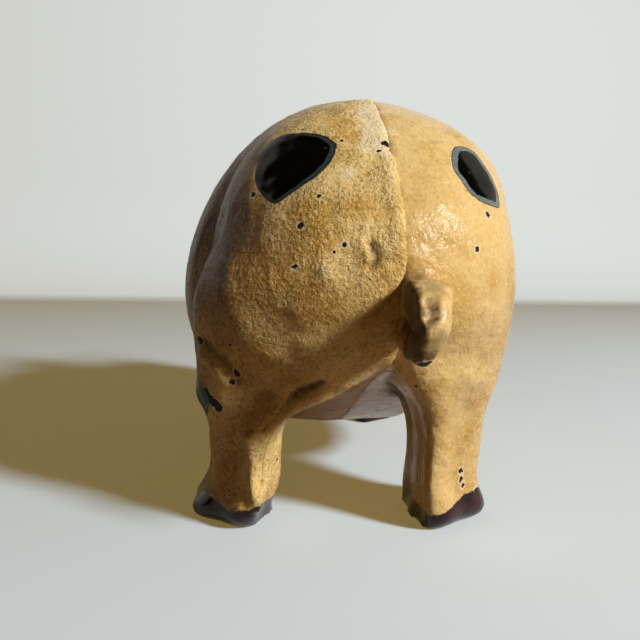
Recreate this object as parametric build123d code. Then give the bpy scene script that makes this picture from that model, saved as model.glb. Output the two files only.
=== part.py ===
from build123d import *
from math import cos, pi, sin
import os

# A standing pig figurine, sand cast in iron as two hollow halves that meet on an upright plane along
# the back. One slotted machine screw draws them together and two cast pins keep them in line.
# Millimetres. The pig faces -Y, its left side is +X, and the soles of its hooves stand on Z = 0.

# Trunk and head
body_length = 102.0          # rump to snout disc, without the tail
back_height = 60.0           # soles to the top of the back
left_reach = 25.6            # parting plane to the widest point of the left flank
right_reach = 23.4           # the right half is cast shallower, so the seam runs right of the middle
wall = 3.0                   # iron around the hollow
seam_ridge = 1.0             # how far the back rises towards the seam

# Legs: the inner side of each is measured from the parting plane at the shin, and the outer side and
# the hip are measured in from the widest point of the flank
hind_inner_left = 11.2
hind_shin_inset_left = 4.4
hind_hip_inset_left = 1.2
hind_inner_right = 5.4
hind_shin_inset_right = 8.6
hind_hip_inset_right = 3.4
hind_setback_left = 13.8     # rump to the rear edge of the hind sole
hind_setback_right = 10.6
hind_lean_left = -10.5       # how far the haunch stands behind that edge
hind_lean_right = -8.0
hind_depth = 13.0
fore_inner_left = 7.6
fore_shin_inset_left = 7.4
fore_hip_inset_left = 4.2
fore_inner_right = 7.2
fore_shin_inset_right = 6.2
fore_hip_inset_right = 4.6
fore_to_snout = 35.0         # snout disc back to the rear edge of the fore sole
fore_lean = -5.0
fore_depth = 11.5
hoof_flare = 1.3
root_drop = 24.0             # top of the back down to where a leg ends inside the trunk

# Tail, cast on the right half only
tail_drop = 5.2              # widest level of the rump down to the middle of the curl
tail_offset = 3.6            # rump to the middle of the curl
tail_curl = 5.0              # distance of the tail's root from that middle
tail_thickness = 4.2
tail_stand = 3.9             # how far the tail stands out of the parting plane
tail_web = 1.4               # the thin iron inside the curl
tail_web_recess = 0.6        # how deep it lies behind the parting plane

# Ears, eyes, snout and hooves, placed from the snout disc, the top of the back and the snout's middle
ear_length = 14.0
ear_breadth = 10.5
ear_thickness = 2.6
ear_to_snout = 23.0
ear_drop = 13.5
ear_spread = 8.6
ear_turn = 50.0              # degrees that an ear is turned forwards
eye_diameter = 3.4
eye_relief = 0.8
eye_to_snout = 15.5
eye_drop = 22.0
nostril_width = 2.4
nostril_height = 4.4
nostril_depth = 1.8
nostril_spread = 3.2
nostril_rise = 0.5
mouth_width = 0.9
mouth_depth = 0.8
mouth_drop = 4.7
mouth_length = 15.0
mouth_radius = 30.0
cleft_width = 1.6

# Screw and what it passes through
screw_diameter = 4.2
screw_clearance = 0.3
head_diameter = 7.6
head_height = 2.8
head_clearance = 0.4
head_recess = 0.8            # how deep the head sits below the flank
slot_width = 1.1
slot_depth = 1.3
screw_end_bevel = 0.6
post_diameter = 11.5
screw_setback = 50.0
screw_drop = 27.0            # top of the back down to the screw
thread_grip = 11.0           # how far the screw reaches into the left post
thread_room = 1.5

# Locating pins, cast on the left half
pin_diameter = 3.0
pin_length = 2.5
pin_clearance = 0.3
boss_diameter = 7.0
pin_setback_rear = 20.0
pin_drop_rear = 17.0
pin_to_snout_front = 28.0
pin_drop_front = 20.0

overrun = 1.0                # cuts run this far past the faces that they open

# Places that follow from these
fore_setback = body_length - fore_to_snout
ear_setback = body_length - ear_to_snout
ear_height = back_height - ear_drop
eye_setback = body_length - eye_to_snout
eye_height = back_height - eye_drop
leg_root = back_height - root_drop
screw_height = back_height - screw_drop
pin_height_rear = back_height - pin_drop_rear
pin_setback_front = body_length - pin_to_snout_front
pin_height_front = back_height - pin_drop_front

# The origin lies under the middle of the whole figurine, tail included.
tail_reach_share = 0.90      # how far the curl stands behind the rump, of offset plus curl
tail_reach = (tail_offset + tail_curl) * tail_reach_share
rump_y = (body_length - tail_reach) / 2
seam_x = (right_reach - left_reach) / 2

# Cross-sections of the trunk and head from rump to snout: distance from the rump, half breadth, top,
# bottom and widest level. They are shares of body_length, the reach and back_height. The first is a
# small flat that the tail's root covers.
trunk_shares = [
    (0.000, 0.100, 0.580, 0.500, 0.540),
    (0.010, 0.260, 0.640, 0.462, 0.535),
    (0.038, 0.510, 0.722, 0.405, 0.520),
    (0.080, 0.695, 0.808, 0.352, 0.500),
    (0.140, 0.825, 0.900, 0.308, 0.485),
    (0.230, 0.895, 0.950, 0.238, 0.485),
    (0.350, 0.955, 0.988, 0.145, 0.470),
    (0.480, 1.000, 1.000, 0.098, 0.460),
    (0.590, 0.975, 0.982, 0.120, 0.460),
    (0.680, 0.900, 0.935, 0.175, 0.470),
    (0.760, 0.800, 0.865, 0.226, 0.470),
    (0.826, 0.655, 0.778, 0.252, 0.450),
    (0.880, 0.500, 0.672, 0.282, 0.440),
    (0.925, 0.385, 0.600, 0.305, 0.443),
    (0.962, 0.325, 0.574, 0.316, 0.445),
    (1.000, 0.322, 0.582, 0.308, 0.445),
]
tail_height = trunk_shares[0][-1] * back_height - tail_drop
snout_middle = trunk_shares[-1][-1] * back_height
mouth_height = snout_middle - mouth_drop
nostril_height_up = snout_middle + nostril_rise
# How round a section is: 1 gives an ellipse and less a squarer oval. The right half is the squarer one.
left_round_share = 1.02
right_round_share = 0.80
section_steps = 4            # points on a quarter of a section
# The hollow runs from the third section to the twelfth, and the mouth lies within the last six.
hollow_shares = trunk_shares[2:12]
face_shares = trunk_shares[10:]

# Levels of a leg from sole to root: height, inner side, way out to the hip, hoof flare, way along the
# lean, depth, way from the shank's plan to the haunch's. The first six are shares of leg_root, the
# inner distance, hip less outer side, hoof_flare, the lean and the depth.
hind_leg_shares = [
    (0.000, 1.06, 0.00, 0.90, 0.00, 1.00, 0.00),
    (0.085, 1.05, 0.00, 0.80, 0.26, 1.16, 0.00),
    (0.142, 1.01, 0.00, 0.10, 0.27, 1.08, 0.00),
    (0.250, 1.00, 0.02, 0.00, 0.30, 1.02, 0.00),
    (0.350, 0.96, 0.10, 0.00, 0.40, 1.15, 0.15),
    (0.445, 0.75, 0.30, 0.00, 0.56, 1.45, 0.70),
    (0.525, 0.33, 0.58, 0.00, 0.74, 1.80, 1.00),
    (0.610, 0.06, 0.84, 0.00, 0.90, 2.15, 1.00),
    (0.730, 0.06, 1.00, 0.00, 1.00, 2.30, 1.00),
    (0.870, 0.10, 0.92, 0.00, 0.95, 2.20, 1.00),
    (1.000, 0.20, 0.40, 0.00, 0.70, 1.90, 1.00),
]
fore_leg_shares = [
    (0.000, 1.00, 0.00, 0.90, 0.00, 1.06, 0.00),
    (0.090, 1.00, 0.00, 0.80, 0.10, 1.12, 0.00),
    (0.150, 1.04, 0.00, 0.00, 0.05, 0.98, 0.00),
    (0.265, 1.06, 0.00, 0.00, 0.02, 0.90, 0.00),
    (0.370, 1.00, 0.12, 0.00, 0.20, 1.02, 0.00),
    (0.500, 0.84, 0.45, 0.00, 0.55, 1.35, 0.30),
    (0.640, 0.60, 0.80, 0.00, 0.90, 1.70, 0.60),
    (0.790, 0.50, 1.00, 0.00, 1.00, 1.85, 1.00),
    (0.900, 0.50, 0.75, 0.00, 0.95, 1.75, 1.00),
    (1.000, 0.60, 0.20, 0.00, 0.80, 1.50, 1.00),
]
# A leg's plan has five corners, as shares of half its breadth and depth: innermost, rear edge, outer
# rear, outer front and inner front. The rear edge and the outer rear corner stand elsewhere on the
# shank than on the haunch, and the right hind leg's edge stands close to its inner side.
inner_corner_share = (-1.00, 0.10)
outer_rear_shares = ((1.00, 0.20), (0.90, 0.40))
front_corner_shares = ((0.82, -1.00), (-0.80, -1.00))
fore_edge_shares = (-0.40, -0.40)
hind_edge_left_shares = (-0.28, -0.95)
hind_edge_right_shares = (-0.77, -0.77)
leg_rounding_share = 0.12    # where a side starts to bend into its corner, of the side

tail_shoulder_share = 0.74   # how square the tail's bar is
# The tail's loop from root to root: angle (of a whole turn), distance from the middle, thickness.
tail_shares = [
    (0.440, 1.000, 1.02), (0.360, 0.760, 1.00), (0.270, 0.560, 0.96), (0.170, 0.520, 0.92),
    (0.070, 0.540, 0.88), (-0.030, 0.540, 0.82), (-0.130, 0.500, 0.74), (-0.230, 0.480, 0.66),
    (-0.330, 0.600, 0.60), (-0.410, 0.900, 0.58), (-0.450, 1.150, 0.58),
]

# An ear from root to tip: way out and way up (of ear_length), breadth, thickness.
ear_shares = [
    (-0.20, -0.20, 0.62, 1.50), (0.08, 0.10, 0.84, 1.15), (0.32, 0.24, 1.00, 1.00),
    (0.58, 0.27, 0.90, 0.90), (0.82, 0.20, 0.58, 0.80), (1.00, 0.08, 0.16, 0.60),
]


def along(distance):
    """Y of a point that lies this far forward of the rump."""
    return rump_y - distance


def half_section(y, roundness, half_breadth, top, bottom, widest, open_side=0.0):
    """One D-shaped cross-section of a half, its straight side on the parting plane or past it."""
    quarter = [step * pi / (section_steps * 2) for step in range(section_steps + 1)]
    shares = [sin(turn) ** roundness for turn in quarter]
    pairs = list(zip(shares, shares[::-1]))
    upper = [Vector(half_breadth * out, y, widest + (top - widest) * rise) for out, rise in pairs]
    lower = [Vector(half_breadth * out, y, widest - (widest - bottom) * rise) for out, rise in pairs]
    roof = Vector(half_breadth, 0, -seam_ridge)
    keel = Vector(-half_breadth, 0, -seam_ridge)
    outline = Edge.make_spline(upper + lower[-2::-1], tangents=[roof, keel])
    if not open_side:
        return Wire([outline, Edge.make_line(outline @ 1, outline @ 0)])
    corners = [(0, bottom), (-open_side, bottom), (-open_side, top), (0, top)]
    ends = [Vector(x, y, z) for x, z in corners]
    sides = [Edge.make_line(a, b) for a, b in zip(ends, ends[1:])]
    return Wire([outline] + sides)


def trunk(reach, roundness):
    """The outer form of one half's trunk and head, from the rump to the flat snout disc."""
    sections = []
    for distance, breadth, top, bottom, widest in trunk_shares:
        y = along(distance * body_length)
        levels = (top * back_height, bottom * back_height, widest * back_height)
        sections.append(half_section(y, roundness, breadth * reach, *levels))
    return Solid.make_loft(sections)


def core(reach, roundness, inset, section_shares):
    """The same sections set in by an amount and open through the parting plane: a sand core."""
    sections = []
    for distance, breadth, top, bottom, widest in section_shares:
        y = along(distance * body_length)
        levels = (top * back_height - inset, bottom * back_height + inset, widest * back_height)
        sections.append(half_section(y, roundness, breadth * reach - inset, *levels, open_side=overrun))
    return Solid.make_loft(sections)


def between(ends, way):
    """A value part of the way from the first of two to the second."""
    return ends[0] + (ends[1] - ends[0]) * way


def leg_section(edge_shares, haunch, inner, outer, rear, depth, z):
    """A leg's plan at one level: five corners, rounded into one smooth outline."""
    middle = (inner + outer) / 2
    half_breadth = (outer - inner) / 2
    half_depth = depth / 2
    centre = along(rear + half_depth)
    rear_edge = (between(edge_shares, haunch), 1)
    outer_rear = [between(ends, haunch) for ends in zip(*outer_rear_shares)]
    plan = [inner_corner_share, rear_edge, outer_rear, *front_corner_shares]
    corners = [Vector(middle + a * half_breadth, centre + b * half_depth, z) for a, b in plan]
    points = []
    for before, corner, after in zip(corners[-1:] + corners, corners, corners[1:] + corners[:1]):
        points.append(corner + (before - corner) * leg_rounding_share)
        points.append(corner + (after - corner) * leg_rounding_share)
        points.append((corner + after) / 2)
    return Wire([Edge.make_spline(points, periodic=True)])


def leg(level_shares, edge_shares, inner, outer, hip, setback, lean, depth):
    """One leg, lofted from the sole up to a root inside the trunk, with the cleft of its hoof."""
    sections = []
    for height, inward, hipward, flare, leaning, deep, haunch in level_shares:
        side = outer + (hip - outer) * hipward + hoof_flare * flare
        rear = setback + lean * leaning
        plan = (inner * inward, side, rear, depth * deep, height * leg_root)
        sections.append(leg_section(edge_shares, haunch, *plan))
    sole_depth = level_shares[0][5]
    hoof_front = along(setback + depth * sole_depth)
    hoof_height = leg_root * level_shares[1][0]
    cleft = Rot(0, 0, 45) * Box(cleft_width, cleft_width, hoof_height * 2)
    solid = Solid.make_loft(sections) - Pos((inner + outer + hoof_flare) / 2, hoof_front, 0) * cleft
    own_side = Box(body_length, body_length * 2, back_height, align=(Align.MIN, Align.CENTER, Align.MIN))
    return solid & own_side


def tail():
    """The curled tail: a looped bar, flat on the parting plane, with a thin web inside the loop."""
    sections = []
    middles = []
    for angle, distance, thick in tail_shares:
        arm = Vector(0, cos(angle * 2 * pi), sin(angle * 2 * pi))
        middle = Vector(0, along(-tail_offset), tail_height) + arm * distance * tail_curl
        half_thick = thick * tail_thickness / 2
        stand = thick * tail_stand
        shoulder = Vector(stand * tail_shoulder_share, 0, 0)
        points = [
            middle + arm * half_thick,
            middle + arm * half_thick * tail_shoulder_share + shoulder,
            middle + Vector(stand, 0, 0),
            middle - arm * half_thick * tail_shoulder_share + shoulder,
            middle - arm * half_thick,
        ]
        outline = Edge.make_spline(points, tangents=[Vector(stand, 0, 0), Vector(-stand, 0, 0)])
        sections.append(Wire([outline, Edge.make_line(outline @ 1, outline @ 0)]))
        middles.append(middle + Vector(tail_web_recess, 0, 0))
    web = extrude(Face(Wire.make_polygon(middles)), tail_web, dir=(1, 0, 0))
    return Solid.make_loft(sections) + web


def ear():
    """A half-lop ear: flat oval sections along an arch that rises from the head and droops."""
    sections = []
    for i, (out, up, breadth, thickness) in enumerate(ear_shares):
        before = ear_shares[max(i - 1, 0)]
        after = ear_shares[min(i + 1, len(ear_shares) - 1)]
        heading = Vector(after[0] - before[0], 0, after[1] - before[1])
        plane = Plane(Vector(out * ear_length, 0, up * ear_length), x_dir=(0, 1, 0), z_dir=heading)
        oval = Edge.make_ellipse(breadth * ear_breadth / 2, thickness * ear_thickness / 2, plane)
        sections.append(Wire([oval]))
    place = Pos(ear_spread, along(ear_setback), ear_height) * Rot(0, 0, -ear_turn)
    return place * Solid.make_loft(sections)


def flank_point(form, setback, height):
    """The outermost point of a form at a place seen from the side, and the way out of it there."""
    sight = Axis((body_length, along(setback), height), (-1, 0, 0))
    return form.find_intersection_points(sight)[0]


def eye(form):
    """A low bead on the cheek."""
    place, outward = flank_point(form, eye_setback, eye_height)
    if outward.X < 0:
        outward = -outward
    return Pos(place - outward * (eye_diameter / 2 - eye_relief)) * Sphere(eye_diameter / 2)


def mouth(reach, roundness):
    """The groove of the mouth: an upturned arc that bites as deep as mouth_depth all along."""
    centre = (body_length, mouth_height + mouth_radius)
    hoop = cross_bar(mouth_radius * 2 + mouth_width, *centre, 0, reach)
    hoop = hoop - cross_bar(mouth_radius * 2 - mouth_width, *centre, 0, reach)
    low_part = Box(reach, mouth_length * 2, mouth_radius, align=(Align.MIN, Align.CENTER, Align.MAX))
    low_part = Pos(0, along(body_length), mouth_height + mouth_radius / 2) * low_part
    inside = core(reach, roundness, mouth_depth, face_shares)
    return (hoop & low_part) - inside


def nostril():
    """An upright oval hollow in the snout disc."""
    hole = extrude(Ellipse(nostril_width / 2, nostril_height / 2), nostril_depth + overrun)
    return Pos(nostril_spread, along(body_length) - overrun, nostril_height_up) * Rot(-90, 0, 0) * hole


def cross_bar(diameter, setback, height, start, end):
    """A round bar square to the parting plane."""
    bar = Cylinder(diameter / 2, end - start, align=(Align.CENTER, Align.CENTER, Align.MIN))
    return Pos(start, along(setback), height) * Rot(0, 90, 0) * bar


def half(reach, roundness, hind_edge, hind, fore, extra=None):
    """What both halves have: trunk, legs, ear, eye, nostril, mouth, hollow, screw post and pin bosses."""
    form = trunk(reach, roundness)
    solid = form + leg(hind_leg_shares, hind_edge, *hind, hind_depth)
    solid = solid + leg(fore_leg_shares, fore_edge_shares, *fore, fore_depth)
    if extra:
        solid = solid + extra
    solid = solid + ear() + eye(form) - nostril() - mouth(reach, roundness)
    hollow = core(reach, roundness, wall, hollow_shares)
    hollow = hollow - cross_bar(post_diameter, screw_setback, screw_height, -overrun, reach)
    hollow = hollow - cross_bar(boss_diameter, pin_setback_rear, pin_height_rear, -overrun, reach)
    hollow = hollow - cross_bar(boss_diameter, pin_setback_front, pin_height_front, -overrun, reach)
    return solid - hollow


os.makedirs("parts", exist_ok=True)

# Left half: legs, the post that the screw is tapped into, and the locating pins
hind_sides_left = (hind_inner_left, left_reach - hind_shin_inset_left, left_reach - hind_hip_inset_left)
hind_left = (*hind_sides_left, hind_setback_left, hind_lean_left)
fore_sides_left = (fore_inner_left, left_reach - fore_shin_inset_left, left_reach - fore_hip_inset_left)
fore_left = (*fore_sides_left, fore_setback, fore_lean)
left = half(left_reach, left_round_share, hind_edge_left_shares, hind_left, fore_left)
left = left - cross_bar(screw_diameter, screw_setback, screw_height, -overrun, thread_grip + thread_room)
left = left + cross_bar(pin_diameter, pin_setback_rear, pin_height_rear, -pin_length, wall)
left = left + cross_bar(pin_diameter, pin_setback_front, pin_height_front, -pin_length, wall)

# Right half: the tail, the hole and seat for the screw, and the sockets
hind_sides_right = (hind_inner_right, right_reach - hind_shin_inset_right, right_reach - hind_hip_inset_right)
hind_right = (*hind_sides_right, hind_setback_right, hind_lean_right)
fore_sides_right = (fore_inner_right, right_reach - fore_shin_inset_right, right_reach - fore_hip_inset_right)
fore_right = (*fore_sides_right, fore_setback, fore_lean)
right = half(right_reach, right_round_share, hind_edge_right_shares, hind_right, fore_right, tail())
seat = right_reach - head_recess - head_height
hole = screw_diameter + screw_clearance * 2
sink = head_diameter + head_clearance * 2
socket = pin_diameter + pin_clearance * 2
socket_end = pin_length + pin_clearance
right = right - cross_bar(hole, screw_setback, screw_height, -overrun, right_reach + overrun)
right = right - cross_bar(sink, screw_setback, screw_height, seat, right_reach + overrun)
right = right - cross_bar(socket, pin_setback_rear, pin_height_rear, -overrun, socket_end)
right = right - cross_bar(socket, pin_setback_front, pin_height_front, -overrun, socket_end)

# Screw: cheese head with a slot, plain shank, bevelled end
shank = cross_bar(screw_diameter, screw_setback, screw_height, -thread_grip, seat)
shank = chamfer(shank.edges().sort_by(Axis.X)[0], screw_end_bevel)
head = cross_bar(head_diameter, screw_setback, screw_height, seat, seat + head_height)
slot = Box(slot_depth * 2, head_diameter + overrun, slot_width)
screw = shank + head - Pos(seat + head_height, along(screw_setback), screw_height) * slot

left_half = Pos(seam_x, 0, 0) * left
right_half = Pos(seam_x, 0, 0) * mirror(right, Plane.YZ)
assembly_screw = Pos(seam_x, 0, 0) * mirror(screw, Plane.YZ)
export_step(left_half, "parts/left_half.step")
export_step(right_half, "parts/right_half.step")
export_step(assembly_screw, "parts/assembly_screw.step")
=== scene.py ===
import math

import bmesh
import bpy
import numpy as np
from mathutils import Matrix, Vector, noise


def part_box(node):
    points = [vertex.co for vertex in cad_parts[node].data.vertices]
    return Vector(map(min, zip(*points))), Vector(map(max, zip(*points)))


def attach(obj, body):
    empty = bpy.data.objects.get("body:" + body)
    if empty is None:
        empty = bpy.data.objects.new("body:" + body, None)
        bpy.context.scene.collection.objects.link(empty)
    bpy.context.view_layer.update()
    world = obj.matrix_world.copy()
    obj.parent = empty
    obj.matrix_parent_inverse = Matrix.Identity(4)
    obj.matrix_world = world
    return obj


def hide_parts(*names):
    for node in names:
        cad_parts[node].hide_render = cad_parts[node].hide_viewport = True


# A standing pig of painted cast iron, seen from behind, in the order in which it is put together:
# camera and floor, left casting, right casting, the screw that draws them together, and the lamps.
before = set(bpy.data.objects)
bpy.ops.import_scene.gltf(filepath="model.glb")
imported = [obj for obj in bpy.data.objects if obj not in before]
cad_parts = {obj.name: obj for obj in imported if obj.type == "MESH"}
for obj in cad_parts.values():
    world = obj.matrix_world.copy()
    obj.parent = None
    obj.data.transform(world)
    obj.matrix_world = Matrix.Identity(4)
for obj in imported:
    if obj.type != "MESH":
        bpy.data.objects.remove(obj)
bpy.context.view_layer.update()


# Camera: a phone held low behind the pig, a little to its left, level but for a roll of 1 degree.
# It is 34 mm above the floor and about 72 mm behind the rump, and the shift frames the pig as the
# photograph does. Places in this file are in mm: +X is the pig's left, +Y its tail and +Z is up.
MM = 0.001
camera_place = Vector((18.9, 119.13, 34.0)) * MM
camera_heading = 171.5
camera_roll = 1.0

camera_data = bpy.data.cameras.new("camera")
camera_data.sensor_width = 36.0
camera_data.lens = 38.25
camera_data.shift_y = -0.094
camera_data.clip_start = 5 * MM
camera = bpy.data.objects.new("camera", camera_data)
camera.matrix_world = (
    Matrix.Translation(camera_place)
    @ Matrix.Rotation(math.radians(camera_heading), 4, "Z")
    @ Matrix.Rotation(math.radians(90.0), 4, "X")
    @ Matrix.Rotation(math.radians(camera_roll), 4, "Z")
)
bpy.context.scene.collection.objects.link(camera)
bpy.context.scene.camera = camera


# Floor and backdrop: one sweep of pale matt card, level under the pig and turned up well past its head.
# Its bend stands where the photographed table ends. It isn't part of the object.
near_edge = 600
table_edge = -400
bend_radius = 100
wall_top = 1200
half_width = 1500


def linear(code):
    """The linear colour of an sRGB hex value."""
    parts = [int(code[i:i + 2], 16) / 255 for i in (1, 3, 5)]
    return (*[p / 12.92 if p <= 0.04045 else ((p + 0.055) / 1.055) ** 2.4 for p in parts], 1.0)


def add(tree, kind, **values):
    """Adds a shader node. A small-letter name is a property, _0 is the first socket, and any other
    name is a socket's. A value is a number, a colour, or the output or node that feeds the socket."""
    node = tree.nodes.new("ShaderNode" + kind)
    for name, value in values.items():
        if name.islower():
            setattr(node, name, value)
            continue
        socket = node.inputs[int(name[1:]) if name[0] == "_" else name.replace("_", " ")]
        if isinstance(value, bpy.types.Node):
            value = next(output for output in value.outputs if output.enabled)
        if isinstance(value, bpy.types.NodeSocket):
            tree.links.new(value, socket)
        else:
            socket.default_value = value
    return node


def new_material(name):
    """A material and its node tree, still empty."""
    material = bpy.data.materials.new(name)
    material.use_nodes = True
    material.node_tree.nodes.clear()
    return material, material.node_tree


def put(name, mesh):
    """Puts a mesh into the scene as an object at the origin."""
    piece = bpy.data.objects.new(name, mesh)
    bpy.context.scene.collection.objects.link(piece)
    return piece


# Matt card takes no gleam. The eye, gloss and glass see it pale, with floor and wall as bright as in
# the photograph, and the pig gets the warmer, weaker light that the cloth throws back
sweep_material, tree = new_material("pale_matt_sweep")
path = add(tree, "LightPath").outputs
mirrored = add(tree, "Math", operation="MAXIMUM", _0=path["Is Glossy Ray"], _1=path["Is Transmission Ray"])
seen = add(tree, "Math", operation="MAXIMUM", _0=path["Is Camera Ray"], _1=mirrored)
card = add(tree, "Mix", data_type="RGBA", _0=seen, _6=linear("#80643a"), _7=linear("#c8dbec"))
height = add(tree, "SeparateXYZ", Vector=add(tree, "NewGeometry").outputs["Position"]).outputs["Z"]
wall = add(tree, "MapRange", Value=height, From_Min=0.0, From_Max=4 * MM)
glow = add(tree, "Mix", data_type="RGBA", _0=wall, _6=linear("#74643b"), _7=linear("#aaa596"))
both = add(
    tree, "AddShader",
    _0=add(tree, "BsdfPrincipled", Base_Color=card, Roughness=0.9, Specular_IOR_Level=0.2),
    _1=add(tree, "Emission", Color=glow, Strength=seen),
)
add(tree, "OutputMaterial", Surface=both)

profile = [(near_edge, 0.0), (table_edge, 0.0)]
for angle in range(10, 91, 10):
    turned = math.radians(angle)
    profile.append((table_edge - bend_radius * math.sin(turned), bend_radius * (1 - math.cos(turned))))
profile.append((table_edge - bend_radius, wall_top))
work = bmesh.new()
row = [work.verts.new((-half_width * MM, y * MM, z * MM)) for y, z in profile]
edges = [work.edges.new(pair) for pair in zip(row, row[1:])]
grown = bmesh.ops.extrude_edge_only(work, edges=edges)["geom"]
far_row = [part for part in grown if isinstance(part, bmesh.types.BMVert)]
bmesh.ops.translate(work, verts=far_row, vec=(2 * half_width * MM, 0, 0))
sweep_mesh = bpy.data.meshes.new("sweep")
work.to_mesh(sweep_mesh)
work.free()
sweep_mesh.shade_smooth()
sweep_mesh.materials.append(sweep_material)
put("sweep", sweep_mesh)


# Left casting: the coarser of two sand-cast iron halves, with both left legs, in buff gloss enamel.
# It is the CAD half meshed anew in even squares, with the pattern maker's fillets, dents and ridges
# and the sand's unevenness moved into it, and then painted: buff first, spots and hooves over that.
skin_pitch = 0.5
# The parting plane, which the right half ends on
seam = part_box("right_half")[1][0] / MM


def even_skin(node):
    """A copy of a CAD half with its doubles merged, meshed anew in even squares and evened out."""
    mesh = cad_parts[node].data.copy()
    mesh.materials.clear()
    work = bmesh.new()
    work.from_mesh(mesh)
    bmesh.ops.remove_doubles(work, verts=work.verts, dist=0.001 * MM)
    work.to_mesh(mesh)
    work.free()
    piece = put(node + "_casting", mesh)
    even = piece.modifiers.new("even", "REMESH")
    even.mode = "VOXEL"
    even.voxel_size = skin_pitch * MM
    soft = piece.modifiers.new("soft", "SMOOTH")
    soft.factor = 0.5
    soft.iterations = 5
    baked = bpy.data.meshes.new_from_object(piece.evaluated_get(bpy.context.evaluated_depsgraph_get()))
    baked.name = node + "_casting"
    baked.shade_smooth()
    piece.modifiers.clear()
    piece.data = baked
    return piece


def points_of(piece):
    """Its points and their outward normals as arrays, in mm."""
    points = np.empty(len(piece.data.vertices) * 3, dtype=np.float32)
    normals = np.empty(len(points), dtype=np.float32)
    piece.data.vertices.foreach_get("co", points)
    piece.data.vertex_normals.foreach_get("vector", normals)
    return points.reshape(-1, 3).astype(float) / MM, normals.reshape(-1, 3).astype(float)


def off_line(points, line):
    """How far each point is from a broken line, or from the one point of a line that has no second."""
    nearest = np.full(len(points), np.inf)
    line = np.array(line, dtype=float)
    for start, end in zip(line, line[1:] if len(line) > 1 else line):
        way = end - start
        share = np.clip((points - start) @ way / max(way @ way, 1e-9), 0, 1)
        nearest = np.minimum(nearest, np.linalg.norm(points - start - share[:, None] * way, axis=1))
    return nearest


def hump(distance, width):
    """1 at no distance, fading to nothing some widths away."""
    return np.exp(-((distance / width) ** 2))


def fade(value, start, end):
    """0 up to start, 1 from end on, and a straight slope between them."""
    return np.clip((value - start) / (end - start), 0, 1)


def raised(points, rows):
    """Adds up humps. A row is a height, a width and the line that the hump follows."""
    return sum(height * hump(off_line(points, line), width) for height, width, line in rows)


def waves(points, size, seed):
    """Smooth noise from -1 to 1 with waves of about this many mm."""
    shift = Vector((seed * 17.3, seed * 5.1, seed * 9.7))
    return np.array([noise.noise(Vector(p) / size + shift) for p in points])


def blend(piece, line):
    """Smooths the skin near a line, the more the nearer, as a wax fillet in the pattern does."""
    reach, rounds, seam_strip = 6.0, 60, 0.8
    work = bmesh.new()
    work.from_mesh(piece.data)
    work.verts.ensure_lookup_table()
    points, _ = points_of(piece)
    away = off_line(points, line)
    away[abs(points[:, 0] - seam) < seam_strip] = np.inf
    every_way = {"use_axis_x": True, "use_axis_y": True, "use_axis_z": True}
    for share in (1.0, 0.75, 0.5):
        near = [work.verts[i] for i in np.flatnonzero(away < reach * share)]
        for _ in range(rounds):
            bmesh.ops.smooth_vert(work, verts=near, factor=0.5, **every_way)
    work.to_mesh(piece.data)
    work.free()


def mouth_groove(points):
    """How deep the mouth is at each point: an arc in the side view, cut into the snout."""
    arc_y, arc_z, arc_radius = -54.9, 52.0, 30.0
    corner_y, highest_z = -40.2, 30
    _, y, z = points.T
    off_arc = abs(np.hypot(y - arc_y, z - arc_z) - arc_radius)
    return 0.45 * hump(off_arc, 0.55) * (y < corner_y) * (z < highest_z)


def press(piece, node, lift, pull=0.0):
    """Moves points along their normals by lift, and by pull, but no sole, and none out of the CAD's box."""
    points, normals = points_of(piece)
    low, high = (np.array(corner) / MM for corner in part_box(node))
    standing = fade(points[:, 2:], 0.2, 2.2)
    moved = np.clip(points + (normals * lift[:, None] + pull) * standing, low, high) * MM
    piece.data.vertices.foreach_set("co", moved.astype(np.float32).ravel())
    piece.data.update()


def close_seam(piece, across):
    """Moves the mating face past the parting plane, so that the seam is a fine line."""
    points, _ = points_of(piece)
    points[:, 0] += across * hump(points[:, 0] - seam, 0.45)
    piece.data.vertices.foreach_set("co", (points * MM).astype(np.float32).ravel())
    piece.data.update()


left = even_skin("left_half")
rump_fillet = [
    (18.1, 35.7, 35.6), (17.3, 38.2, 30.3), (15.2, 38.1, 25.5), (12.2, 38.5, 23.8), (9.4, 39.6, 23.4),
    (5.5, 41.4, 23.1), (1.6, 42.3, 23.5),
]
blend(left, rump_fillet)

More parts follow.
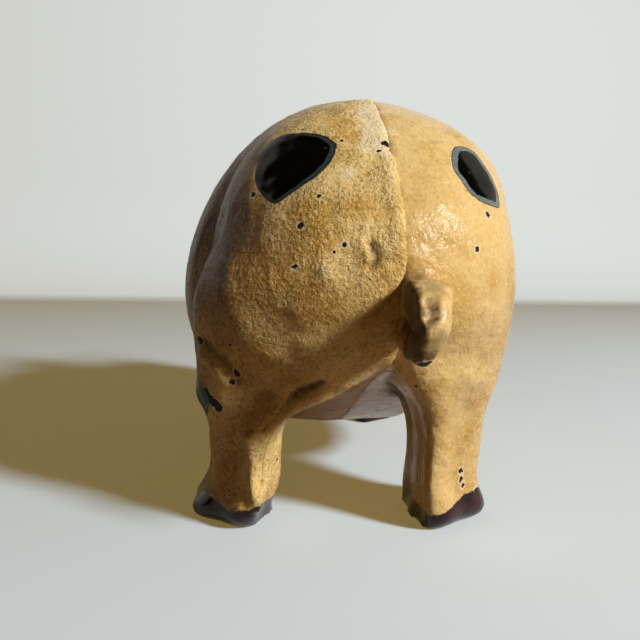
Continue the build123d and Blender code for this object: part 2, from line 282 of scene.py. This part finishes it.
points, _ = points_of(left)
x, y, z = points.T
ham_groove = 2.8 * fade(x, 12, 16) * hump(y - 17.5, 3.4) * hump(z - 36, 11)
ham_hollow = 1.7 * fade(x, 15, 20) * hump(y - 26.0, 6.5) * hump(z - 34, 8)
lift = raised(points, [
    # The ham: its outer edge, the roll under the rump, the swell and the dent above, the swell of the
    # thigh, and the bony stifle with the groove behind it
    (0.35, 2.2, [(18.6, 27.5, 45.0), (20.6, 27.5, 37.0), (21.6, 29.0, 30.0)]),
    (1.9, 4.6, [
        (17.0, 38.2, 29.0), (15.2, 38.1, 25.5), (12.2, 38.5, 23.8), (9.4, 39.6, 23.4), (5.5, 41.4, 23.8),
        (3.0, 42.2, 24.5),
    ]),
    (0.45, 7.0, [(14.0, 30.0, 50.0)]),
    (-0.35, 4.0, [(18.0, 27.0, 44.0)]),
    (0.8, 2.6, [(21.5, 31.0, 16.5)]),
    (0.6, 0.9, [(20.6, 33.9, 22.2), (19.6, 34.8, 21.5), (18.7, 35.3, 20.6), (17.8, 35.7, 19.2)]),
    (-0.4, 1.3, [(20.4, 34.4, 23.6), (18.9, 35.6, 22.3), (17.5, 36.3, 21.0), (16.6, 36.4, 19.6)]),
    # The leg: its hollow outer side, the wrinkle above the hock, and the edge with the grooves beside it
    (-0.75, 3.8, [(21.5, 30.0, 10.5), (21.0, 30.0, 5.0)]),
    (-0.65, 0.55, [
        (13.1, 37.1, 13.1), (12.2, 37.5, 14.2), (11.3, 38.1, 15.4), (10.5, 38.6, 16.7), (9.2, 39.0, 18.2),
        (6.5, 40.2, 19.8),
    ]),
    (0.95, 0.55, [(14.9, 36.4, 12.4), (14.4, 36.1, 9.6), (14.3, 35.7, 6.8), (13.8, 35.4, 3.4)]),
    (-0.55, 0.6, [(12.9, 35.6, 12.0), (12.7, 35.0, 9.0), (12.6, 34.8, 6.0)]),
    (0.35, 0.5, [(12.7, 36.2, 11.6), (13.2, 35.8, 9.0)]),
    # The blister and the raised crease by the tail, and the ridge that stands along the seam above it
    (0.3, 0.9, [(7.3, 45.5, 32.9)]),
    (-0.55, 0.4, [(2.6, 46.4, 36.0), (2.0, 46.8, 35.0), (1.9, 46.9, 34.0), (2.5, 46.9, 33.2)]),
    (0.3, 0.6, [(3.4, 46.3, 35.8), (2.9, 46.7, 34.6), (2.9, 46.8, 33.8)]),
    (0.35, 0.8, [(-0.4, 41.0, 46.3), (-0.4, 43.7, 42.7), (-0.5, 46.0, 38.6), (-0.5, 47.0, 34.5)]),
])
sand_swell = 0.16 * waves(points, 6.0, 1) + 0.09 * waves(points, 2.4, 2) + 0.05 * waves(points, 1.3, 3)
press(left, "left_half", lift - ham_groove - ham_hollow - mouth_groove(points) + sand_swell)
close_seam(left, -0.4)


def spot_field(points, normals, outline, border, lean=(0, 0, 0)):
    """How deep each point lies inside a painted outline on the skin, in mm, and how deep inside its
    border's inner edge. The border is wider by a share on the side that lean points to."""
    ring = np.array(outline, dtype=float)
    middle = ring.mean(axis=0)
    spokes = ring - middle
    nearest = [np.argmin(np.linalg.norm(points - corner, axis=1)) for corner in ring]
    facing = normals[nearest].mean(axis=0)
    facing /= np.linalg.norm(facing)
    across = np.cross((0.0, 0.0, 1.0), facing)
    across /= np.linalg.norm(across)
    flatten = np.column_stack([across, np.cross(facing, across)])

    # The outline as a smooth closed curve through its corners, in four runs from each to the next
    before, after, beyond = (np.roll(spokes, shift, axis=0) for shift in (1, -1, -2))
    runs = []
    for t in (0.0, 0.25, 0.5, 0.75):
        slope = (after - before) * t
        bow = (2 * before - 5 * spokes + 4 * after - beyond) * t ** 2
        twist = (3 * spokes - before - 3 * after + beyond) * t ** 3
        runs.append((2 * spokes + slope + bow + twist) / 2)
    curve = np.stack(runs, axis=1).reshape(-1, 3) @ flatten

    # Only points near the spot and on its side of the casting are measured
    margin, outside, least_facing = 4.0, -9.0, 0.05
    away = points - middle
    reach = np.linalg.norm(spokes, axis=1).max() + margin
    near = np.flatnonzero((np.linalg.norm(away, axis=1) < reach) & (normals @ facing > least_facing))
    flat = away[near] @ flatten
    inside = np.zeros(len(near), dtype=bool)
    for start, end in zip(curve, np.roll(curve, -1, axis=0)):
        run, rise = end - start
        spans = (start[1] > flat[:, 1]) != (end[1] > flat[:, 1])
        inside ^= spans & (flat[:, 0] < start[0] + run * (flat[:, 1] - start[1]) / (rise or 1.0))
    to_edge = off_line(flat, np.vstack([curve, curve[:1]]))
    depth = np.full(len(points), outside)
    depth[near] = np.where(inside, to_edge, -to_edge)
    side = away @ np.array(lean, dtype=float) / np.linalg.norm(away, axis=1)
    return depth, depth - border * (1 + side)


def pupil_field(points, outward):
    """The same for a pupil, a dot on the outermost point of the eye. Outward is 1 or -1, along X."""
    eye_y, eye_z, eye_radius, pupil_radius = -39.4, 38.0, 1.0, 1.25
    x, y, z = points.T
    on_eye = np.hypot(y - eye_y, z - eye_z) < eye_radius
    middle = points[np.argmax(np.where(on_eye, outward * x, -np.inf))]
    depth = pupil_radius - off_line(points, [middle])
    return depth, depth + 0.3


def oval(middle, facing, tall, wide, seed):
    """An uneven oval outline on a plane that faces this way: for the spots on the sides out of sight."""
    facing = Vector(facing).normalized()
    across = Vector((0, 0, 1)).cross(facing).normalized()
    upward = facing.cross(across)
    corners = 12
    ring = []
    for i in range(corners):
        angle = i * math.tau / corners
        swell = 1 + 0.16 * noise.noise(Vector((math.cos(angle), math.sin(angle), seed * 3.7)) * 1.3)
        sideways = across * wide * swell * math.cos(angle)
        ring.append(Vector(middle) + sideways + upward * tall * swell * math.sin(angle))
    return ring


def hollows(piece):
    """How dark the hollows of the skin are painted at each point, from 0 to 1, for dirt and painted shade.
    Where the skin is even it lies less than 0.004 mm below its surroundings, and from 0.030 mm on it is
    as dark as it gets."""
    clean, full, rounds = 0.004, 0.030, 6
    points, normals = points_of(piece)
    ends = np.empty(len(piece.data.edges) * 2, dtype=np.int32)
    piece.data.edges.foreach_get("vertices", ends)
    a, b = ends[::2], ends[1::2]
    count = np.bincount(ends, minlength=len(points)).clip(1)

    def mean(values):
        """Each point's neighbours' mean."""
        return (np.bincount(a, values[b], len(points)) + np.bincount(b, values[a], len(points))) / count

    around = np.column_stack([mean(points[:, axis]) for axis in range(3)])
    bend = ((around - points) * normals).sum(axis=1)
    for _ in range(rounds):
        bend = (bend + mean(bend)) / 2
    return fade(bend, clean, full)


def chips(points, nicks):
    """How deep each point lies inside a chip, in mm. A nick is a place, moved onto the skin, and a radius."""
    depth = np.full(len(points), -2.0)
    for *place, radius in nicks:
        middle = points[np.argmin(np.linalg.norm(points - place, axis=1))]
        depth = np.maximum(depth, radius - off_line(points, [middle]))
    return depth


def mark(piece, name, values):
    """Keeps a number for every point, for the paint to read."""
    layer = piece.data.attributes.new(name, "FLOAT", "POINT")
    layer.data.foreach_set("value", values.astype(np.float32))


points, normals = points_of(left)
x, y, z = points.T

# Spots: the large one on the rump, one on the leg, and three on flank, shoulder and neck
border_width = 0.5
rump_spot = [
    (14.4, 33.9, 45.3), (14.6, 35.0, 43.6), (14.2, 36.9, 42.2), (13.4, 38.6, 41.0), (12.5, 39.8, 40.4),
    (11.9, 40.1, 40.6), (10.9, 40.4, 41.5), (9.5, 40.6, 42.4), (7.8, 40.7, 43.5), (7.0, 40.6, 44.5),
    (5.9, 40.0, 45.9), (5.1, 38.6, 47.6), (5.3, 38.1, 48.2), (6.3, 36.8, 49.1), (7.4, 35.8, 49.5),
    (8.9, 34.5, 49.7), (10.2, 33.3, 49.6), (11.3, 32.2, 49.2), (12.2, 31.7, 48.6), (12.9, 31.6, 48.0),
    (13.8, 32.2, 46.7),
]
leg_spot = [
    (20.6, 32.4, 18.3), (19.9, 33.2, 17.6), (19.4, 33.4, 16.8), (19.3, 33.2, 16.0), (19.7, 32.6, 15.0),
    (20.1, 31.6, 13.8), (20.5, 30.4, 12.3), (21.2, 28.2, 11.8), (21.9, 26.4, 13.4), (22.2, 25.6, 16.0),
    (22.0, 27.4, 18.4), (21.3, 30.6, 19.2),
]
other_spots = [
    leg_spot,
    oval((24, -7, 34), (1, 0, 0.2), 7.0, 7.0, 1),
    oval((20, -21, 42), (1, -0.2, 0.6), 5.5, 6.5, 2),
    oval((17.5, -30, 27), (1, -0.4, 0), 4.2, 5.2, 3),
]
fields = [spot_field(points, normals, rump_spot, border_width, lean=(-0.6, 0, -0.5))]
fields += [spot_field(points, normals, outline, border_width) for outline in other_spots]
depths, fills = zip(*fields, pupil_field(points, 1))
mark(left, "spot", np.max(depths, axis=0))
mark(left, "fill", np.max(fills, axis=0))

# Hoof paint up to a wavy line, level on the fore legs
hoof_line = 3.0 + 0.8 * fade(x, 17.3, 21.3) + 0.9 * hump(x - 13.6, 0.7) - 0.35 * hump(x - 17.2, 1.2)
mark(left, "hoof", np.clip(z - np.where(y < 0, 3.4, hoof_line), -4, 4))

# Brown film on the flank, which is also painted shade on the side turned from the light; a paler pink
# under the belly and inside the leg, a pinker coat and also painted light thrown up from the floor;
# and dirt and painted shade in the hollows
film_and_shade = 0.75 * fade(x, 6, 18) * hump(z - 35, 14)
mark(left, "film_and_shade", (film_and_shade + 0.15 * waves(points, 5.0, 9)).clip(0, 1))
mark(left, "pale_belly_and_bounce", fade(z, 17, 13) * fade(x, 9.5, 7.5))
mark(left, "grime_and_shade", hollows(left))

# Paint rubbed thin on the back, the blister and the seam, with the blister and the seam's ridge also
# painted pale as highlight, and chipped
wear_and_highlight = raised(points, [
    (1.0, 2.2, [(-1.0, 33.6, 53.4)]),
    (1.0, 2.6, [(-0.3, 37.1, 50.4)]),
    (1.0, 1.4, [(4.4, 41.8, 44.2)]),
    (1.0, 1.0, [(7.3, 45.5, 32.9)]),
    (1.0, 1.2, [(1.9, 39.4, 47.6)]),
    (0.7, 1.9, [(0.0, 30.0, 55.6), (0.2, 34.0, 53.2), (0.1, 38.0, 49.7), (-0.3, 40.5, 47.0)]),
    (0.8, 0.5, [(-0.4, 40.0, 47.3), (-0.4, 43.7, 42.7), (-0.5, 46.6, 37.0)]),
])
mark(left, "wear_and_highlight", wear_and_highlight.clip(0, 1))
nicks = [
    (-0.74, 39.2, 48.2, 0.55), (0.1, 40.0, 47.2, 0.35), (9.6, 43.3, 37.9, 0.45), (16.4, 36.4, 20.0, 0.5),
    (21.1, 33.5, 23.8, 0.55), (20.0, 33.2, 17.3, 0.65), (19.5, 33.6, 16.6, 0.7), (19.0, 33.9, 15.9, 0.65),
    (18.6, 34.1, 15.3, 0.6), (20.6, 32.6, 14.6, 0.5), (5.2, 45.9, 35.6, 0.32), (10.5, 44.1, 33.1, 0.32),
    (17.2, 34.2, 19.5, 0.35), (14.8, 36.2, 41.6, 0.4), (7.7, 42.6, 41.2, 0.35),
]
mark(left, "chip", chips(points, nicks))


def enamel(name, buff, ochre, border, grain, haze, pits, tips, gloss):
    """Old gloss enamel, brushed on sand-cast iron: a soft gleam that the sand's grain breaks up.
    Grain and haze are how deep the sand and the blotches show, in mm. Pits and tips are how dark the
    pits and how pale the tops of the grains are: the pits hold dirt and painted shade, and the pale
    tops are wear and painted glints. Gloss is the roughness of clean paint."""
    material, tree = new_material(name)
    place = add(tree, "TexCoord").outputs["Object"]
    eased = {"interpolation_type": "SMOOTHSTEP"}
    times_plus = {"operation": "MULTIPLY_ADD"}
    film_and_shade, grime_and_shade, wear_and_highlight, chipped, spot, fill, hoof_line, pale_belly_and_bounce = (
        add(tree, "Attribute", attribute_name=field).outputs["Fac"]
        for field in ("film_and_shade", "grime_and_shade", "wear_and_highlight", "chip", "spot", "fill", "hoof", "pale_belly_and_bounce")
    )

    # In mm: the mould's sand and its finest grit, the enamel's blotches and clouds, patches of coarser
    # sand, the fray of a paint's edge, and the wander of the brush inside a spot
    sand, grit, blotch, cloud, patch, fray, wander = (
        add(tree, "TexNoise", Vector=place, Scale=1 / (size * MM), Detail=detail, Roughness=roughness)
        for size, detail, roughness in (
            (0.46, 4.0, 0.62), (0.16, 2.0, 0.5), (1.6, 3.0, 0.5), (7.0, 3.0, 0.5), (4.0, 2.0, 0.5),
            (0.7, 3.0, 0.5), (2.2, 2.0, 0.5),
        )
    )
    ragged = add(tree, "Math", **times_plus, _0=fray, _1=0.8, _2=-0.4)

    # Where the ochre clouds, the brown film and painted shade, the dark pits (dirt and painted shade), the
    # pale grain tops (wear and painted glints) and the brown blots lie
    clouded = add(tree, "Math", **times_plus, _0=film_and_shade, _1=0.22, _2=cloud)
    clouded = add(tree, "MapRange", **eased, Value=clouded, From_Min=0.46, From_Max=0.68)
    filmed_and_shaded = add(tree, "Math", operation="MULTIPLY", _0=film_and_shade, _1=0.75)
    darkest = add(tree, "Math", **times_plus, _0=film_and_shade, _1=0.45, _2=pits)
    pitted = add(tree, "MapRange", **eased, Value=sand, From_Min=0.49, From_Max=0.37, To_Max=darkest)
    tipped = add(tree, "Math", **times_plus, _0=wear_and_highlight, _1=0.16, _2=sand)
    tipped = add(tree, "MapRange", **eased, Value=tipped, From_Min=0.55, From_Max=0.64, To_Max=tips)
    blotted = add(tree, "MapRange", **eased, Value=blotch, From_Min=0.60, From_Max=0.74, To_Max=0.25)

    # Where dirt and painted shade darken the skin, where rubbing bares the pale undercoat and painted
    # highlight lies, and chips and pinholes down to the iron
    grimed_and_shaded = add(tree, "Math", operation="MULTIPLY", _0=grime_and_shade, _1=0.85)
    rubbed_and_highlit = add(tree, "Math", **times_plus, _0=ragged, _1=2.6, _2=wear_and_highlight)
    rubbed_and_highlit = add(tree, "MapRange", **eased, Value=rubbed_and_highlit, From_Min=0.55, From_Max=0.95, To_Max=0.75)
    pinholes = add(tree, "TexVoronoi", Vector=place, Scale=1 / (2.2 * MM)).outputs
    chance = add(tree, "SeparateColor", Color=pinholes["Color"])
    hole = add(tree, "Math", **times_plus, _0=chance, _1=-0.24, _2=pinholes["Distance"])
    chip = add(tree, "Math", operation="ADD", _0=chipped, _1=ragged)
    hole_rim = add(tree, "MapRange", **eased, Value=hole, From_Min=-0.062, From_Max=-0.092, To_Max=0.55)
    chip_rim = add(tree, "MapRange", **eased, Value=chip, From_Min=-0.26, From_Max=-0.16, To_Max=0.55)
    rim = add(tree, "Math", operation="MAXIMUM", _0=hole_rim, _1=chip_rim)
    hole_core = add(tree, "MapRange", **eased, Value=hole, From_Min=-0.112, From_Max=-0.142)
    chip_core = add(tree, "MapRange", **eased, Value=chip, From_Min=-0.04, From_Max=0.08)
    bare = add(tree, "Math", operation="MAXIMUM", _0=hole_core, _1=chip_core)

    # The buff coat and what lies on it, in this order
    colour = linear(buff)
    for paint, share, kind in (
        (ochre, clouded, "MIX"),
        # brown film, which is also painted shade on the left flank
        ("#a87c42", filmed_and_shaded, "MULTIPLY"),
        # dark pits: dirt and painted shade
        ("#7d4c10", pitted, "MIX"),
        # pale grain tops: wear and painted glints
        ("#f4d898", tipped, "MIX"),
        ("#5d3c14", blotted, "MIX"),
        # dirt and painted shade
        ("#3a2410", grimed_and_shaded, "MIX"),
        # pale wear, and painted highlight on the blister and the seam's ridge
        ("#f3dfb8", rubbed_and_highlit, "MIX"),
        # paler belly: a pinker coat, and painted light thrown up from the floor
        ("#f6cba0", pale_belly_and_bounce, "MIX"),
        ("#f7e4bc", rim, "MIX"),
        ("#191614", bare, "MIX"),
    ):
        colour = add(tree, "Mix", data_type="RGBA", blend_type=kind, _0=share, _6=colour, _7=linear(paint))

    # Black spots with a thin dark outline, partly the painted shadow of the paint's raised edge, and a
    # border brushed in grey-green
    edge = add(tree, "Math", **times_plus, _0=ragged, _1=0.30, _2=spot)
    painted = add(tree, "MapRange", **eased, Value=edge, From_Min=-0.07, From_Max=0.07)
    outlined = add(tree, "MapRange", **eased, Value=edge, From_Min=0.20, From_Max=0.02)
    brushed = add(tree, "MapRange", **eased, Value=grit, From_Min=0.35, From_Max=0.7)
    inner = add(tree, "Math", **times_plus, _0=wander, _1=0.7, _2=fill)
    inner = add(tree, "Math", **times_plus, _0=ragged, _1=0.3, _2=inner)
    filled = add(tree, "MapRange", **eased, Value=inner, From_Min=0.27, From_Max=0.43)
    spots = linear(border[0])
    for paint, share in ((border[1], brushed), ("#121614", outlined), ("#030404", filled)):
        spots = add(tree, "Mix", data_type="RGBA", _0=share, _6=spots, _7=linear(paint))

    # Hooves in burgundy, nearly black in places
    hoof = add(tree, "Math", **times_plus, _0=ragged, _1=0.7, _2=hoof_line)
    hoof = add(tree, "MapRange", **eased, Value=hoof, From_Min=0.10, From_Max=-0.10)
    mottled = add(tree, "MapRange", **eased, Value=blotch, From_Min=0.35, From_Max=0.65)
    hooves = add(tree, "Mix", data_type="RGBA", _0=mottled, _6=linear("#3d0a10"), _7=linear("#1c0709"))
    for paint, share in ((spots, painted), (hooves, hoof)):
        colour = add(tree, "Mix", data_type="RGBA", _0=share, _6=colour, _7=paint)

    # The sand's relief in mm: deeper in coarse patches and where the brown film and painted shade lie, none
    # under the thick paint of spots and hooves. Spots stand 0.05 mm proud, and chips are 0.10 mm deep
    thick = add(tree, "Math", operation="MAXIMUM", _0=painted, _1=hoof)
    thin = add(tree, "Math", operation="SUBTRACT", _0=1.0, _1=thick)
    patchy = add(tree, "MapRange", Value=patch, From_Min=0.35, From_Max=0.65, To_Min=0.5, To_Max=1.3)
    deep = add(tree, "Math", **times_plus, _0=film_and_shade, _1=1.2 * grain, _2=0.6 * grain)
    deep = add(tree, "Math", operation="MULTIPLY", _0=deep, _1=patchy)
    uneven = add(tree, "Math", operation="MULTIPLY", _0=blotch, _1=haze)
    proud = add(tree, "Math", operation="MULTIPLY", _0=painted, _1=0.05)
    relief = add(tree, "Math", **times_plus, _0=grit, _1=0.25, _2=sand)
    relief = add(tree, "Math", **times_plus, _0=relief, _1=deep, _2=uneven)
    relief = add(tree, "Math", **times_plus, _0=relief, _1=thin, _2=proud)
    relief = add(tree, "Math", **times_plus, _0=bare, _1=-0.10, _2=relief)
    bump = add(tree, "Bump", Strength=1.0, Distance=MM, Height=relief)

    # Dirt and bare iron are dull, and thick paint is the glossiest
    dull = add(tree, "MapRange", Value=blotch, From_Min=0.35, From_Max=0.7, To_Min=gloss, To_Max=gloss + 0.16)
    rough = add(tree, "Math", operation="MAXIMUM", _0=bare, _1=grime_and_shade)
    rough = add(tree, "Math", **times_plus, _0=rough, _1=0.4, _2=dull)
    sleek = add(tree, "Math", **times_plus, _0=thick, _1=-0.6, _2=1.0)
    rough = add(tree, "Math", operation="MULTIPLY", _0=rough, _1=sleek)
    shell = add(
        tree, "BsdfPrincipled", Base_Color=colour, Roughness=rough, Normal=bump, Coat_Normal=bump,
        IOR=1.45, Specular_IOR_Level=0.22, Coat_Weight=0.06, Coat_Roughness=0.15,
    )
    add(tree, "OutputMaterial", Surface=shell)
    return material


# Its spot border is the same grey-green as the right casting's, painted darker here as painted shade
left.data.materials.append(enamel(
    "coarse_buff_enamel", buff="#f0cd84", ochre="#d2a44c", border=("#26322d", "#414c46"),
    grain=0.64, haze=0.10, pits=0.42, tips=0.60, gloss=0.32,
))
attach(left, "root")
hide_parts("left_half")


# Right casting: the smoother iron half, with both right legs and the curled tail, in glossier enamel.
# It is made and painted as the left one is. The tail's flat side is the parting plane, so it stands on
# the seam and leans over this half.
right = even_skin("right_half")
thigh_fillet = [
    (-6.5, 45.6, 27.8), (-10.0, 43.6, 26.4), (-12.6, 41.6, 25.4), (-16.2, 37.6, 23.9), (-20.0, 33.0, 24.0),
]
blend(right, thigh_fillet)

points, _ = points_of(right)
x, y, _ = points.T
lift = raised(points, [
    # The rump: a swell and two flats above, a slight roll over the thigh, and the swell of the thigh
    (0.6, 6.0, [(-16.5, 31.0, 46.0)]),
    (-0.55, 7.0, [(-8.0, 31.0, 55.5)]),
    (-0.35, 7.0, [(-21.0, 26.0, 39.0)]),
    (0.5, 4.0, [(-8.0, 45.0, 26.8), (-10.5, 43.4, 26.0), (-12.6, 41.6, 25.0), (-16.2, 37.6, 23.5)]),
    (1.2, 2.5, [(-11.3, 40.6, 20.0), (-12.6, 40.0, 19.2)]),
])
leg_hollow = 0.7 * hump(off_line(points, [(-5.5, 30.0, 14.0), (-5.5, 30.0, 5.0)]), 4.5) * (x > -9)
sand_swell = 0.12 * waves(points, 6.0, 4) + 0.05 * waves(points, 2.4, 5)

# The tail: a square shoulder, a lobe by the crease, a blunt tip, and a taper below, all lumpy
tail_crease = [
    (-2.1, 54.3, 30.1), (-2.3, 54.9, 29.3), (-2.0, 55.0, 28.5), (-1.5, 54.4, 27.5), (-1.1, 52.5, 26.7),
]
tail_pulls = [
    ((-0.5, 0.3, 0.7), 1.7, [(-4.4, 50.0, 31.2), (-4.6, 52.0, 30.6)]),
    ((0.9, 0.2, 0.0), 0.8, [(-1.3, 53.6, 29.9), (-1.2, 54.2, 28.9), (-1.1, 52.6, 27.6)]),
    ((0.3, 0.2, -0.7), 1.2, [(-2.0, 53.0, 24.4)]),
    ((1.3, 0.0, 0.2), 1.7, [(-4.6, 51.5, 26.6), (-4.2, 51.8, 25.0)]),
]
tail = fade(y, 47.6, 48.8)
pull = sum(np.outer(tail * hump(off_line(points, line), width), way) for way, width, line in tail_pulls)
lift += tail * (0.25 * waves(points, 1.8, 6) + raised(points, [(-0.8, 0.45, tail_crease)]))
press(right, "right_half", lift - leg_hollow - mouth_groove(points) + sand_swell, pull)
close_seam(right, 0.4)

points, normals = points_of(right)
x, y, z = points.T

# Spots: the one on the rump, and three on flank, shoulder and back
border_width = 0.75
rump_spot = [
    (-9.2, 38.9, 47.2), (-10.1, 37.5, 48.4), (-11.3, 36.5, 48.7), (-12.4, 35.9, 48.5), (-13.4, 35.7, 48.0),
    (-14.0, 36.0, 47.1), (-14.6, 36.5, 45.9), (-15.2, 36.9, 44.7), (-15.7, 37.3, 43.5), (-15.9, 37.8, 42.4),
    (-15.5, 39.0, 41.0), (-14.3, 40.1, 40.8), (-12.9, 41.2, 41.1), (-11.8, 41.8, 41.4), (-10.6, 42.1, 42.0),
    (-9.9, 41.9, 42.9), (-9.4, 41.4, 43.9), (-8.9, 41.0, 44.8), (-8.8, 40.3, 45.7),
]
outlines = [
    rump_spot,
    oval((-23, 6, 38), (-1, 0, 0.3), 6.5, 8.5, 5),
    oval((-18.5, -20, 33), (-1, -0.2, 0.2), 6.0, 5.0, 6),
    oval((-8, -8, 59), (-0.2, 0, 1), 6.5, 4.5, 7),
]
fields = [spot_field(points, normals, outline, border_width) for outline in outlines]
depths, fills = zip(*fields, pupil_field(points, -1))
mark(right, "spot", np.max(depths, axis=0))
mark(right, "fill", np.max(fills, axis=0))

# Hoof paint that climbs outwards, level on the fore legs
hoof_line = 2.4 + 1.7 * fade(x, -8.8, -13.2)
mark(right, "hoof", np.clip(z - np.where(y < 0, 3.4, hoof_line), -4, 4))

# Brown darkening low on the flank; a paler pink under the belly and inside the leg, a pinker coat and
# also painted light thrown up from the floor; dirt and painted shade in the hollows; painted shade in
# the crack by the tail, inside the hind leg and on the tail's flat side and crease; and blotchy dirt
# and a dark tip on the tail
mark(right, "film_and_shade", 0.35 * fade(x, -8, -22) * fade(z, 30, 10))
mark(right, "pale_belly_and_bounce", fade(z, 17, 13) * fade(x, -5.5, -3.5))
inward = normals[:, 0]
inner_leg_shade = fade(inward, 0.55, 0.85) * fade(z, 20, 17) * (y > 5)
tail = fade(y, 47.8, 49.3) * fade(x, -7, -5)
tail_dirt_and_shade = 0.18 + 0.6 * waves(points, 1.4, 8) + fade(inward, 0.35, 0.65)
tail_dirt_and_shade += raised(points, [(1.5, 0.5, tail_crease), (1.6, 1.5, [(-1.6, 53.3, 24.2), (-2.2, 52.6, 23.6)])])
crack_shade = raised(points, [(1.2, 0.8, [(-1.1, 47.4, 33.4), (-1.2, 47.6, 31.5), (-1.2, 46.8, 29.5)])])
dirt_and_painted_shade = hollows(right) + crack_shade + 0.4 * inner_leg_shade + tail * tail_dirt_and_shade
mark(right, "grime_and_shade", dirt_and_painted_shade.clip(0, 1))

# Paint rubbed thin beside the seam, and chipped
wear_and_highlight = raised(points, [(1.0, 1.2, [(-1.6, 33.6, 53.4)]), (1.0, 1.0, [(-2.0, 37.5, 50.0)])])
mark(right, "wear_and_highlight", wear_and_highlight.clip(0, 1))
nicks = [
    (-12.8, 41.9, 39.8, 0.45), (-10.5, 44.5, 35.5, 0.32), (-12.9, 36.6, 7.0, 0.42), (-13.1, 36.5, 6.1, 0.45),
    (-13.4, 36.3, 5.3, 0.38), (-15.6, 34.0, 3.9, 0.7), (-1.3, 43.4, 43.1, 0.3), (-1.8, 53.3, 23.9, 0.8),
]
mark(right, "chip", chips(points, nicks))
# Its spot border is the same grey-green as the left casting's, painted paler here as painted light
right.data.materials.append(enamel(
    "smooth_buff_enamel", buff="#e2be7c", ochre="#cfa65c", border=("#525d58", "#868e88"),
    grain=0.095, haze=0.30, pits=0.18, tips=0.30, gloss=0.15,
))
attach(right, "root")
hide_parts("right_half")


# Screw: slotted machine screw of turned steel, gone brown, sunk in its seat in the right flank.
# It is the CAD's own solid in a better material: a dull metal sheen between patches of rust, broken by
# turning marks, drawn as a grain of 0.2 mm, which is coarser than real ones, so that they show.
steel, tree = new_material("browned_turned_steel")
place = add(tree, "TexCoord").outputs["Object"]
patches = add(tree, "TexNoise", Vector=place, Scale=1 / (1.11 * MM), Detail=4.0)
marks = add(tree, "TexNoise", Vector=place, Scale=1 / (0.2 * MM), Detail=1.0)
rust = add(tree, "MapRange", Value=patches, From_Min=0.45, From_Max=0.7)
colour = add(tree, "Mix", data_type="RGBA", _0=rust, _6=linear("#7d7a76"), _7=linear("#5a3d2a"))
rough = add(tree, "MapRange", Value=rust, To_Min=0.35, To_Max=0.75)
bump = add(tree, "Bump", Strength=0.6, Distance=0.02 * MM, Height=marks)
shell = add(tree, "BsdfPrincipled", Metallic=1.0, Base_Color=colour, Roughness=rough, Normal=bump)
add(tree, "OutputMaterial", Surface=shell)
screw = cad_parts["assembly_screw"]
screw.data.materials.clear()
screw.data.materials.append(steel)


# Lamps: a window to the right of the camera and behind it, and a dim, warm room.
# The window is small enough to draw the soft-edged shadows that the photograph shows.
window_data = bpy.data.lights.new("window", "AREA")
window_data.shape = "RECTANGLE"
window_data.size = 100 * MM
window_data.size_y = 120 * MM
window_data.energy = 6.0
window_distance = 700 * MM
window = bpy.data.objects.new("window", window_data)
rump = Vector((0, 20, 30)) * MM
toward = Vector((-0.62, 0.61, 0.49)).normalized()
facing_rump = toward.to_track_quat("Z", "Y").to_matrix().to_4x4()
window.matrix_world = Matrix.Translation(rump + toward * window_distance) @ facing_rump
bpy.context.scene.collection.objects.link(window)

world = bpy.data.worlds.new("room")
world.use_nodes = True
bpy.context.scene.world = world
sky = world.node_tree.nodes["Background"]
sky.inputs["Color"].default_value = linear("#f2bc7c")
sky.inputs["Strength"].default_value = 0.036

bpy.context.scene.view_settings.view_transform = "Standard"
